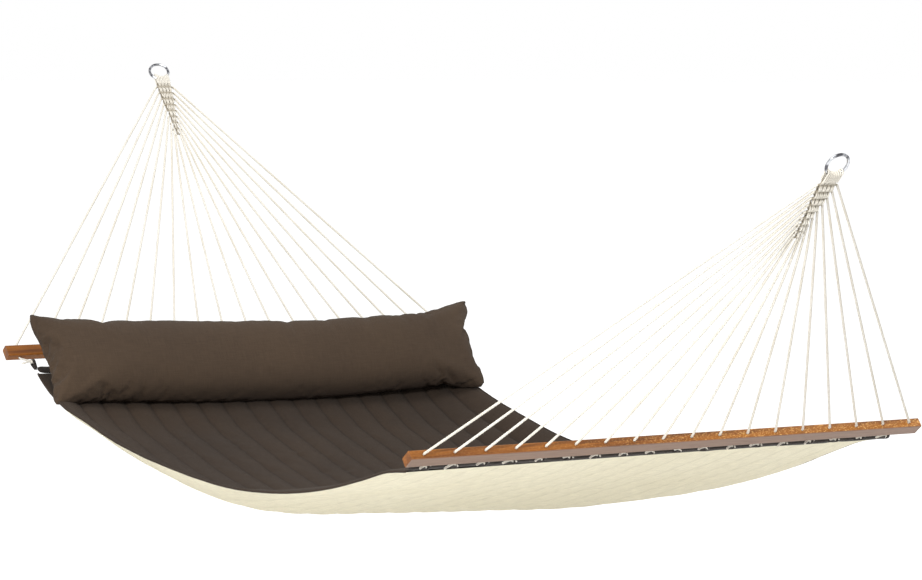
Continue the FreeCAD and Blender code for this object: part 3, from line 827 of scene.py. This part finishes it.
@dataclass
class Lacing:
    """Rope ends through the bar, their knots and tails, and the webbing loops that they hold."""

    end: HammockEnd
    bar_depth: float = 0.033
    drop: float = 0.015
    knot_size: float = 0.0053
    knot_rope: float = 0.0027
    tail: float = 0.024
    loop_length: float = 0.026
    loop_width: float = 0.008
    loop_thickness: float = 0.0016
    seed: int = 5

    @property
    def slope_out(self) -> Array:
        """Direction from the bed to the knots, along the bed's end."""
        label = self.end.side.label
        low, high = (np.array(corner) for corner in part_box(f"{label}_hem_band"))
        middle = (low + high) / 2
        away = self.end.knot - middle
        away[0] = 0.0
        return unit(away)

    def strand(self, hole_x: float, knot_x: float) -> Mesh:
        """Rope from the bar's upper mouth, down its hole and across to the knot.

        Args:
            hole_x: Place of the hole along the bar.
            knot_x: Place of the knot.

        Returns:
            The strand.
        """
        across = np.array([1.0, 0.0, 0.0])
        steps = [0.0, 0.012, 0.024, self.bar_depth + 0.0035, self.bar_depth + 0.006]
        inside = [self.end.fold - self.end.bar_out * step + across * hole_x for step in steps]
        knot = self.end.knot + across * knot_x
        inside[-1] = inside[-1] + (knot - inside[-1]) * 0.12
        points = np.array([*inside, knot + (inside[-1] - knot) * 0.4, knot])
        return tube(smooth_path(points, 0.0025), ROPE_RADIUS * 0.98, 9, across * 0.2 + self.cross_axis(), 0.021, 0.17)

    def cross_axis(self) -> Array:
        """Direction square to the hole and to the bar."""
        return np.cross([1.0, 0.0, 0.0], self.end.bar_out)

    def knot(self, knot_x: float, turn: float) -> Mesh:
        """Overhand knot: a trefoil, x = sin t + 2 sin 2t, y = cos t - 2 cos 2t, z = -sin 3t, scaled.

        Args:
            knot_x: Place along the bar.
            turn: Angle that the knot is turned by about the rope.

        Returns:
            The knot as a closed tube.
        """
        t = np.linspace(0, 2 * math.pi, 49)
        flat = np.stack([np.sin(t) + 2 * np.sin(2 * t), np.cos(t) - 2 * np.cos(2 * t), -1.25 * np.sin(3 * t)], 1)
        flat *= self.knot_size / 3
        spin = np.array([[math.cos(turn), -math.sin(turn), 0], [math.sin(turn), math.cos(turn), 0], [0, 0, 1]])
        axes = np.stack([np.array([1.0, 0.0, 0.0]), self.cross_axis(), self.end.bar_out])
        points = self.end.knot + [knot_x, 0.0, 0.0] + flat @ spin.T @ axes
        outward = unit(points - points.mean(axis=0)) + 0.15 * self.end.bar_out
        return tube(points, self.knot_rope, 8, outward, 0.018, 0.15)

    def loose_end(self, knot_x: float, chance: np.random.Generator) -> Mesh:
        """Short tail that leaves the knot sideways and droops.

        Args:
            knot_x: Place of the knot.
            chance: Source of the small differences between tails.

        Returns:
            The tail.
        """
        start = self.end.knot + [knot_x, 0.0, 0.0]
        side = np.array([-1.0, 0.0, 0.0])
        down = np.array([0.0, 0.0, -1.0])
        out = self.slope_out
        reach = self.tail * chance.uniform(0.75, 1.15)
        droop = chance.uniform(0.05, 0.45)
        lean = chance.uniform(-0.25, 0.35)
        points = np.array([start, start + side * reach * 0.45 + out * 0.002 + down * reach * droop * 0.2,
                           start + side * reach * 0.8 + out * reach * lean * 0.5 + down * reach * droop * 0.6,
                           start + side * reach + out * reach * lean + down * reach * droop])
        return tube(smooth_path(points, 0.0018), self.knot_rope, 8, self.cross_axis() + 0.05, 0.018, 0.15)

    def loop(self, knot_x: float) -> Mesh:
        """Flat tape out of the hem, round the knot's rope and back, a closed teardrop seen from the side.

        The tape's middle follows s -> reach * sin(s) along the bed's end and a lens of half height
        h * sin(2 s) off it, for s from 0 to pi.

        Args:
            knot_x: Place of the knot.

        Returns:
            The loop as a closed band.
        """
        out = self.slope_out
        lift = np.cross([1.0, 0.0, 0.0], out)
        foot = self.end.knot - out * (self.loop_length + 0.001) + [knot_x, 0.0, 0.0]
        s = np.linspace(0.0, math.pi, 25)[:, None]
        reach = (self.loop_length + 0.006) * np.sin(s) ** 0.8
        middle = foot + out * reach + lift * (0.0060 * np.sin(2 * s) + 0.0020 * np.cos(s))
        ahead = unit(np.gradient(middle, axis=0))
        thick = np.cross([1.0, 0.0, 0.0], ahead) * self.loop_thickness / 2
        wide = np.array([self.loop_width / 2, 0.0, 0.0])
        corners = np.stack([middle - wide - thick, middle + wide - thick, middle + wide + thick,
                            middle - wide + thick], axis=1)
        uvs = np.stack(np.broadcast_arrays(np.array([0, 0.008, 0.0096, 0.0016])[None, :], s * 0.02), -1)
        faces = grid_faces(len(s), 4, True) + [(3, 2, 1, 0), tuple(len(s) * 4 - 4 + k for k in range(4))]
        return Mesh(corners.reshape(-1, 3), faces, uvs.reshape(-1, 2))

    def build(self, rope: bpy.types.Material, tape: bpy.types.Material) -> None:
        """Make the strands, the knots with their tails and the loops.

        Args:
            rope: Finish of the ropes.
            tape: Finish of the loops.
        """
        label = self.end.side.label
        body = f"{label}_bar"
        chance = np.random.default_rng(self.seed + self.end.side.value)
        holes, knots = self.end.row_x(HOLE_PITCH), self.end.row_x(KNOT_PITCH)
        strands = Mesh.joined([self.strand(h, k) for h, k in zip(holes, knots)])
        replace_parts(strands.piece(f"{label}_bar_ropes", rope, body, "rope"), f"{label}_lacing")
        ties = [self.knot(x, chance.uniform(0, 2 * math.pi)) for x in knots]
        ties += [self.loose_end(x, chance) for x in knots]
        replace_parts(Mesh.joined(ties).piece(f"{label}_tied_knots", rope, body, "rope"), f"{label}_knots")
        loops = Mesh.joined([self.loop(x) for x in knots])
        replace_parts(loops.piece(f"{label}_tape_loops", tape, "bed", "hem_webbing"), f"{label}_hem_loops")


# ---------------------------------------------------------------- quilted bed


@dataclass
class Bed:
    """Two cloths quilted together in lengthwise channels and gathered into a hem at each end."""

    head: HammockEnd
    foot: HammockEnd
    half_width: float = 0.65
    foot_half_width: float = 0.650
    head_half_width: float = 0.622
    hem_width: float = 0.024
    hem_half_thickness: float = 0.0048
    hem_lift: float = 0.0045
    knot_to_hem: float = 0.0228
    stations: tuple[float, ...] = (-2.430, -2.358, -2.258, -2.108, -1.958, -1.808, -1.658, -1.508,
                                   -1.358, -1.208, -1.058, -0.908, -0.758, -0.658, -0.576)
    left: tuple[float, ...] = (-0.756, -0.767, -0.797, -0.839, -0.870, -0.891, -0.903, -0.904,
                               -0.899, -0.890, -0.874, -0.849, -0.825, -0.795, -0.770)
    right: tuple[float, ...] = (-0.752, -0.767, -0.803, -0.862, -0.912, -0.951, -0.964, -0.963,
                                -0.953, -0.940, -0.924, -0.897, -0.864, -0.830, -0.770)
    belly: tuple[float, ...] = (0.0, 0.004, 0.008, 0.008, 0.012, 0.028, 0.055, 0.086, 0.094, 0.093, 0.085,
                                0.077, 0.062, 0.036, 0.0)
    belly_power: float = 6.0
    channels: int = 18
    seam_thickness: float = 0.004
    channel_thickness: float = 0.021
    columns: int = 252
    rows: int = 380
    seed: int = 11

    @property
    def seam_pitch(self) -> float:
        """Distance between two sewn lines."""
        return 2 * self.half_width / self.channels

    def hem_place(self, end: HammockEnd) -> tuple[Array, Array]:
        """Outer edge of the hem at one end, and the direction from the bed to the knots there.

        Args:
            end: The end of the hammock.

        Returns:
            The place on the middle line, and the unit direction.
        """
        out = Lacing(end).slope_out
        return end.knot - out * self.knot_to_hem, out

    def middle(self, u: Array, v: Array) -> tuple[Array, Array, Array]:
        """Middle surface of the bed.

        The two long edges follow smooth curves through heights given at stations along Y. Between them
        the cloth hangs lower by belly * (1 - u ** power), a flat-bottomed trough, and each end meets its hem.

        Args:
            u: Across the bed, -1 to 1.
            v: Along the bed, 0 at the foot hem to 1 at the head hem.

        Returns:
            X, Y and Z arrays.
        """
        head, head_out = self.hem_place(self.head)
        foot, foot_out = self.hem_place(self.foot)
        head, foot = head - head_out * self.hem_width, foot - foot_out * self.hem_width
        y = foot[1] + (head[1] - foot[1]) * v
        places = np.array(self.stations)
        left, right, belly = (through(y, places, np.array(row)) for row in (self.left, self.right, self.belly))
        share = (u + 1) / 2
        z = left * (1 - share) + right * share - belly * (1 - np.abs(u) ** self.belly_power)
        ends = (np.where(v > 0.5, head[2], foot[2]) - np.where(v > 0.5, self.left[-1], self.left[0]))
        z = z + ends * np.exp(-np.minimum(v, 1 - v) / 0.05)
        return u * self.width(v), y, z

    def width(self, v: Array) -> Array:
        """Half width along the bed: full but for the last part, where it runs into each hem."""
        near_head = np.exp(-(1 - v) / 0.06)
        near_foot = np.exp(-v / 0.06)
        return (self.half_width + (self.head_half_width - self.half_width) * near_head
                + (self.foot_half_width - self.half_width) * near_foot)

    def thickness(self, u: Array, v: Array) -> Array:
        """Thickness of the quilt: full between the seams, thin along them and towards the hems.

        Args:
            u: Across the bed, -1 to 1.
            v: Along the bed, 0 to 1.

        Returns:
            Thickness in metres.
        """
        phase = (u + 1) / 2 * self.channels * math.pi
        puff = np.abs(np.sin(phase)) ** 0.55
        ends = np.clip(np.minimum(v, 1 - v) * 16, 0, 1) ** 0.6
        plump = 1 + 0.16 * smooth_noise(u * 9, v * 14, self.seed)
        return self.seam_thickness + (self.channel_thickness - self.seam_thickness) * puff * ends * plump

    def creases(self, u: Array, v: Array, seed: int) -> Array:
        """Small puckers across each seam, strongest beside it, and broad soft waves.

        Args:
            u: Across the bed, -1 to 1.
            v: Along the bed, 0 to 1.
            seed: Seed of the pattern.

        Returns:
            Height to add, in metres.
        """
        channel = (u + 1) / 2 * self.channels
        off = np.abs(channel - np.round(channel)) * self.seam_pitch
        line = np.round(channel)
        pucker = smooth_noise(v * 95 + line * 7.3, line * 3.1, seed)
        near = np.exp(-((off / 0.017) ** 2)) * np.clip(off / 0.003, 0, 1)
        streaks = smooth_noise(v * 38 + channel * 1.7, channel * 1.1, seed + 1)
        broad = smooth_noise(v * 9, u * 4, seed + 2)
        slack = smooth_noise(v * 5 + 3, line * 1.9, seed + 3)
        return 0.0023 * pucker * near * (0.7 + 0.6 * slack) + 0.0009 * streaks + 0.0018 * broad

    def cloth(self, hand: int) -> Mesh:
        """One of the two cloths, moved off the middle surface by half of the quilt's thickness.

        Args:
            hand: +1 for the upper cloth, -1 for the lower one.

        Returns:
            The cloth as an open sheet whose UVs are in metres.
        """
        u, v = np.meshgrid(np.linspace(-1, 1, self.columns), np.linspace(0, 1, self.rows))
        x, y, z = self.middle(u, v)
        points = np.stack([x, y, z], -1)
        normal = unit(np.cross(np.gradient(points, axis=1), np.gradient(points, axis=0)))
        lift = self.thickness(u, v) / 2
        fade = np.clip(np.minimum(v, 1 - v) * 25, 0, 1) * np.clip((1 - np.abs(u)) * 30, 0, 1)
        shape = self.creases(u, v, self.seed + 20 * (hand + 1)) * (1.0 if hand > 0 else 0.55) * fade
        share = 1.0 if hand > 0 else 0.45
        points = points + normal * (hand * (lift * share + 0.0002) + shape)[..., None]
        run = np.concatenate([np.zeros((1, self.columns)), np.cumsum(np.linalg.norm(
            np.diff(points, axis=0), axis=-1), axis=0)])
        uvs = np.stack([(u + 1) * self.half_width, run], -1)
        faces = grid_faces(self.rows, self.columns, False)
        if hand < 0:
            faces = [face[::-1] for face in faces]
        return Mesh(points.reshape(-1, 3), faces, uvs.reshape(-1, 2))

    def side_seam(self, hand: int) -> Mesh:
        """Rolled seam along a long edge of the bed, where the two cloths meet.

        Args:
            hand: -1 for the left edge, +1 for the right.

        Returns:
            The seam as a tube.
        """
        v = np.linspace(0.0, 1.0, 420)
        x, y, z = self.middle(np.full_like(v, float(hand)), v)
        wobble = 0.0011 * smooth_noise(v * 70, np.full_like(v, hand * 1.5), self.seed + 3)
        path = np.stack([x + wobble, y, z + 0.0008], 1)
        return tube(path, 0.0030, 8, np.array([1.0, 0.0, 0.0]))

    def hem(self, end: HammockEnd) -> Mesh:
        """Folded band along one end: a flattened round section carried across the bed.

        The section is a superellipse, |a| ** 4 + |b| ** 2 = 1, 24 mm wide and about 8 mm thick, and the
        band's outer edge pulls out a little at each loop.

        Args:
            end: The end of the hammock.

        Returns:
            The closed band.
        """
        edge, out = self.hem_place(end)
        lift = np.cross([1.0, 0.0, 0.0], out)
        half = self.head_half_width if end.side is Side.HEAD else self.foot_half_width
        x = np.linspace(-half, half, 420)
        angle = np.linspace(0, 2 * math.pi, 14, endpoint=False)
        wide = np.sign(np.cos(angle)) * np.abs(np.cos(angle)) ** 0.5
        thick = np.sin(angle)
        pull = 0.0022 * np.cos(2 * math.pi * (x / KNOT_PITCH + 0.5))
        sag = 0.0012 * smooth_noise(x * 30, x * 0, self.seed + 7)
        cap = np.sqrt(np.clip(1 - (np.abs(x) / half) ** 60, 0, 1))
        centre = edge - out * self.hem_width / 2 + lift * self.hem_lift * end.side.value
        reach = wide[None, :] * self.hem_width / 2 * cap[:, None] + np.where(wide > 0.3, 1, 0) * pull[:, None]
        height = thick[None, :] * self.hem_half_thickness * cap[:, None] + sag[:, None]
        points = centre + reach[..., None] * out + height[..., None] * lift
        points[..., 0] = x[:, None]
        uvs = np.stack(np.broadcast_arrays(x[:, None], wide[None, :] * 0.02), -1)
        faces = grid_faces(len(x), len(angle), True)
        faces += [tuple(range(13, -1, -1)), tuple(len(x) * 14 - 14 + k for k in range(14))]
        return Mesh(points.reshape(-1, 3), faces, uvs.reshape(-1, 2))

    def build(self, upper: bpy.types.Material, lower: bpy.types.Material, tape: bpy.types.Material) -> None:
        """Make the two cloths, the side seams and the hems.

        Args:
            upper: Finish of the top cloth.
            lower: Finish of the underside.
            tape: Finish of the hems.
        """
        top = self.cloth(1).piece("quilt_top", upper, "bed", "top_cloth")
        under = self.cloth(-1).piece("quilt_underside", lower, "bed", "bottom_cloth")
        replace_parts(top, "bed_top_cover", "bed_padding")
        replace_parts(under, "bed_bottom_cover")
        seams = Mesh.joined([self.side_seam(-1), self.side_seam(1)])
        seams.piece("quilt_side_seams", upper, "bed", "top_cloth")
        for end in (self.head, self.foot):
            label = end.side.label
            band = self.hem(end).piece(f"{label}_hem", tape, "bed", "hem_webbing")
            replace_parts(band, f"{label}_hem_band")


# ---------------------------------------------------------------- pillow


@dataclass
class Pillow:
    """Long soft pillow with pointed corners that stands on the bed and leans against its head end.

    It starts as two flat cloths sewn along their edges. Air pressure in a cloth simulation swells them, which
    draws the seams in, leaves the corners pointed and folds small wrinkles along the edges.
    """

    flat_length: float = 1.345
    flat_height: float = 0.340
    length: float = 1.300
    height: float = 0.300
    thickness: float = 0.145
    start_thickness: float = 0.030
    columns: int = 225
    rows: int = 57
    pressure: float = 5.0
    frames: int = 20
    slackness: float = 0.0016
    seam_lift: tuple[float, ...] = (0.0, 0.019, 0.026, 0.022, 0.018, 0.011, 0.013, 0.006, 0.0)
    side_out: float = 0.025
    corner_lift: float = 0.012
    top_y: tuple[float, float, float] = (-0.576, -0.553, -0.596)
    top_z: tuple[float, float, float] = (-0.615, -0.629, -0.612)
    low_y: tuple[float, float, float] = (-0.742, -0.732, -0.723)
    low_z: tuple[float, float, float] = (-0.837, -0.889, -0.851)
    tucks: tuple[tuple[float, float, float], ...] = (
        (-0.55, 0.004, 0.035), (-0.12, 0.003, 0.05), (0.13, 0.009, 0.022), (0.31, 0.006, 0.018),
        (0.49, 0.007, 0.025), (0.66, 0.006, 0.02), (0.80, 0.005, 0.02))
    seed: int = 31

    def bag(self) -> Mesh:
        """The two cloths, joined along their edges and parted a little so that pressure can fill them.

        Over u across and w up, both -1 to 1, each cloth stands off the middle plane by half of
        start_thickness * ((1 - u ** 2) * (1 - w ** 2)) ** 0.5, plus a little slack.

        Returns:
            The closed bag, flat in X (length), Y (front is negative) and Z (height).
        """
        u, w = np.meshgrid(np.linspace(-1, 1, self.columns), np.linspace(-1, 1, self.rows))
        off = self.start_thickness / 2 * np.sqrt(np.clip((1 - u**2) * (1 - w**2), 0, None))
        slack = self.slackness * smooth_noise(u * 30 + 5, w * 7 + 5, self.seed) * (off > 0)
        x, z = u * self.flat_length / 2, w * self.flat_height / 2
        front = np.stack([x, -off + slack, z], -1).reshape(-1, 3)
        back = np.stack([x, off + slack, z], -1).reshape(-1, 3)
        number = np.arange(len(front)).reshape(self.rows, self.columns)
        inner = np.zeros_like(number, dtype=bool)
        inner[1:-1, 1:-1] = True
        rear = number.copy()
        rear[inner] = len(front) + np.arange(inner.sum())
        flat_number = rear.ravel()
        near = grid_faces(self.rows, self.columns, False)
        far = [tuple(int(flat_number[corner]) for corner in face[::-1]) for face in near]
        verts = np.vstack([front, back[inner.ravel()]])
        uvs = np.concatenate([np.stack([x, z], -1).reshape(-1, 2), np.stack([x, z], -1)[inner]])
        return Mesh(verts, near + far, uvs)

    def swell(self, pillow: bpy.types.Object) -> None:
        """Run the cloth simulation on the bag and keep its result as the mesh.

        Args:
            pillow: The bag's object.
        """
        modifier = pillow.modifiers.new("fill", "CLOTH")
        cloth = modifier.settings
        cloth.quality = 5
        cloth.mass = 0.15
        cloth.tension_stiffness = 30
        cloth.compression_stiffness = 12
        cloth.shear_stiffness = 6
        cloth.bending_stiffness = 0.25
        cloth.use_pressure = True
        cloth.uniform_pressure_force = self.pressure
        cloth.effector_weights.gravity = 0
        modifier.collision_settings.use_collision = False
        scene = bpy.context.scene
        for number in range(1, self.frames + 1):
            scene.frame_set(number)
        posed = pillow.evaluated_get(bpy.context.evaluated_depsgraph_get())
        points = np.empty(len(pillow.data.vertices) * 3)
        posed.data.vertices.foreach_get("co", points)
        pillow.modifiers.remove(modifier)
        scene.frame_set(1)
        pillow.data.vertices.foreach_set("co", points)

    def stand_up(self, pillow: bpy.types.Object) -> None:
        """Scale the filled bag to size and bend it to the lines that its two long seams follow.

        Each seam's Y and Z are parabolas through the values given for its left end, middle and right end.
        A point keeps its own share of the height between the two seams and its own distance in front.

        Args:
            pillow: The filled bag.
        """
        points = np.empty(len(pillow.data.vertices) * 3)
        pillow.data.vertices.foreach_get("co", points)
        points = points.reshape(-1, 3)
        low, high = points.min(axis=0), points.max(axis=0)
        points = (points - (low + high) / 2) * [self.length, self.thickness, self.height] / (high - low)
        log.info("pillow filled: %s", np.round(high - low, 4))
        u = points[:, 0] / (self.length / 2)
        top, foot = (np.stack([np.zeros_like(u), self.bend(u, y), self.bend(u, z)], 1)
                     for y, z in ((self.top_y, self.top_z), (self.low_y, self.low_z)))
        rise = through(u, np.linspace(-1, 1, len(self.seam_lift)), np.array(self.seam_lift))
        top[:, 2] += rise
        foot[:, 2] += self.corner_lift * np.abs(u) ** 12
        up = unit(top - foot)
        front = np.cross(up, [1.0, 0.0, 0.0]) * -1.0
        front = np.where(front[:, 1:2] > 0, -front, front)
        share = points[:, 2:3] / self.height + 0.5
        dip = self.tucked(u)[:, None] * np.clip((share - 0.45) / 0.55, 0, 1) ** 2
        placed = foot + (top - foot) * share - front * points[:, 1:2] - up * dip
        placed -= front * dip * 3.0 * np.clip(1 - share, 0, 0.4) * np.sign(-points[:, 1:2])
        w = 2 * points[:, 2] / self.height
        placed[:, 0] = points[:, 0] + np.sign(u) * self.side_out * np.abs(u) ** 6 * (1 - w**4)
        pillow.data.vertices.foreach_set("co", placed.ravel())
        pillow.data.update()

    def tucked(self, u: Array) -> Array:
        """Depth of the small tucks that gather the top seam, each a bell curve along it."""
        return sum(depth * np.exp(-(((u - place) / width) ** 2)) for place, depth, width in self.tucks)

    @staticmethod
    def bend(u: Array, ends: tuple[float, float, float]) -> Array:
        """Parabola through three values at u = -1, 0 and 1."""
        left, middle, right = ends
        return middle + (right - left) / 2 * u + ((left + right) / 2 - middle) * u**2

    def build(self, cloth: bpy.types.Material) -> None:
        """Make the pillow.

        Args:
            cloth: Finish of its cover.
        """
        pillow = self.bag().piece("pillow_soft", cloth, "pillow", "top_cloth")
        self.swell(pillow)
        self.stand_up(pillow)
        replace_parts(pillow, "pillow_cover", "pillow_filling")


# ---------------------------------------------------------------- studio


@dataclass
class Studio:
    """Pale floor, white surroundings, soft lamps and the camera."""

    floor_z: float = -1.45
    lens: float = 136.25
    azimuth: float = math.radians(-32.462)
    elevation: float = math.radians(5.681)
    roll: float = math.radians(1.548)
    place: tuple[float, float, float] = (-4.487377, -8.662924, 0.362856)

    def floor(self) -> None:
        """A wide pale floor that shows white to the camera but for the object's shadow."""
        shader = Shader("floor_pale")
        shader.surface(Base_Color=(0.86, 0.86, 0.86, 1.0), Roughness=0.9)
        path = shader.node("ShaderNodeLightPath")
        seen = shader.math("MAXIMUM", path.outputs["Is Camera Ray"], path.outputs["Is Glossy Ray"])
        shader.surface(Emission_Color=(1.0, 1.0, 1.0, 1.0), Emission_Strength=shader.math("MULTIPLY", seen, 0.5))
        bpy.ops.mesh.primitive_plane_add(size=60.0, location=(0.0, 0.0, self.floor_z))
        plane = bpy.context.object
        plane.name = "floor"
        plane.data.materials.append(shader.material)

    def world(self) -> None:
        """Even pale surroundings, pure white where the camera or a reflection looks at them."""
        world = bpy.data.worlds.new("surroundings")
        bpy.context.scene.world = world
        world.use_nodes = True
        nodes, links = world.node_tree.nodes, world.node_tree.links
        back = nodes["Background"]
        path = nodes.new("ShaderNodeLightPath")
        seen = nodes.new("ShaderNodeMath")
        seen.operation = "MAXIMUM"
        links.new(path.outputs["Is Camera Ray"], seen.inputs[0])
        links.new(path.outputs["Is Glossy Ray"], seen.inputs[1])
        strength = nodes.new("ShaderNodeMapRange")
        strength.inputs[3].default_value = 0.62
        strength.inputs[4].default_value = 1.0
        links.new(seen.outputs[0], strength.inputs[0])
        links.new(strength.outputs[0], back.inputs[1])
        back.inputs[0].default_value = (1.0, 1.0, 1.0, 1.0)

    def lamp(self, name: str, place: tuple[float, float, float], size: float, power: float) -> None:
        """A square soft lamp aimed at the middle of the hammock.

        Args:
            name: Name of the lamp.
            place: Where it stands.
            size: Length of its side.
            power: Its power in watts.
        """
        light = bpy.data.lights.new(name, "AREA")
        light.size = size
        light.energy = power
        lamp = bpy.data.objects.new(name, light)
        aim = Vector((0.0, -1.5, -0.7)) - Vector(place)
        lamp.rotation_euler = aim.to_track_quat("-Z", "Y").to_euler()
        lamp.location = place
        bpy.context.scene.collection.objects.link(lamp)

    def camera(self) -> None:
        """A long lens seen from the foot end's left, a little above the bed."""
        a, e, r = self.azimuth, self.elevation, self.roll
        back = Vector((math.sin(a) * math.cos(e), -math.cos(a) * math.cos(e), math.sin(e)))
        right = Vector((math.cos(a), math.sin(a), 0.0))
        up = back.cross(right)
        across = right * math.cos(r) + up * math.sin(r)
        upward = up * math.cos(r) - right * math.sin(r)
        data = bpy.data.cameras.new("camera")
        data.lens = self.lens
        data.sensor_width = 36.0
        data.clip_end = 200.0
        camera = bpy.data.objects.new("camera", data)
        turn = Matrix((across, upward, back)).transposed().to_4x4()
        camera.matrix_world = Matrix.Translation(self.place) @ turn
        bpy.context.scene.collection.objects.link(camera)
        bpy.context.scene.camera = camera

    def build(self) -> None:
        """Set up the whole studio."""
        bpy.context.scene.view_settings.view_transform = "Standard"
        self.camera()
        self.floor()
        self.world()
        self.lamp("key", (-5.0, -6.2, 2.2), 0.7, 330.0)
        self.lamp("top", (-1.5, -3.0, 4.2), 2.5, 120.0)
        self.lamp("fill", (4.5, -4.5, 2.5), 3.5, 60.0)


def main() -> None:
    """Build every piece in order."""
    logging.basicConfig(level=logging.INFO, format="%(message)s")
    Studio().build()
    rope = RopeFinish().material()
    steel = SteelFinish().material()
    tape = WebbingFinish().material()
    head, foot = HammockEnd(Side.HEAD), HammockEnd(Side.FOOT)
    bed = Bed(head, foot)
    brown = ClothFinish("cloth_brown", (0.046, 0.031, 0.021), (0.036, 0.025, 0.018), seam_pitch=bed.seam_pitch,
                        sheen=0.03)
    cream = ClothFinish("cloth_cream", (0.90, 0.845, 0.665), (0.865, 0.805, 0.62), seam_pitch=bed.seam_pitch,
                        seam_colour=(0.72, 0.66, 0.50), sheen=0.0, painted_seam_shade=0.93)
    plain = ClothFinish("cloth_pillow", (0.070, 0.046, 0.029), (0.054, 0.036, 0.024), sheen=0.04)
    for end in (head, foot):
        Ring(end).build(steel)
        Clew(end).build(rope)
        Bar(end).build()
        Lacing(end).build(rope, tape)
    bed.build(brown.material(), cream.material(), tape)
    Pillow().build(plain.material())


if __name__ == "__main__":
    main()
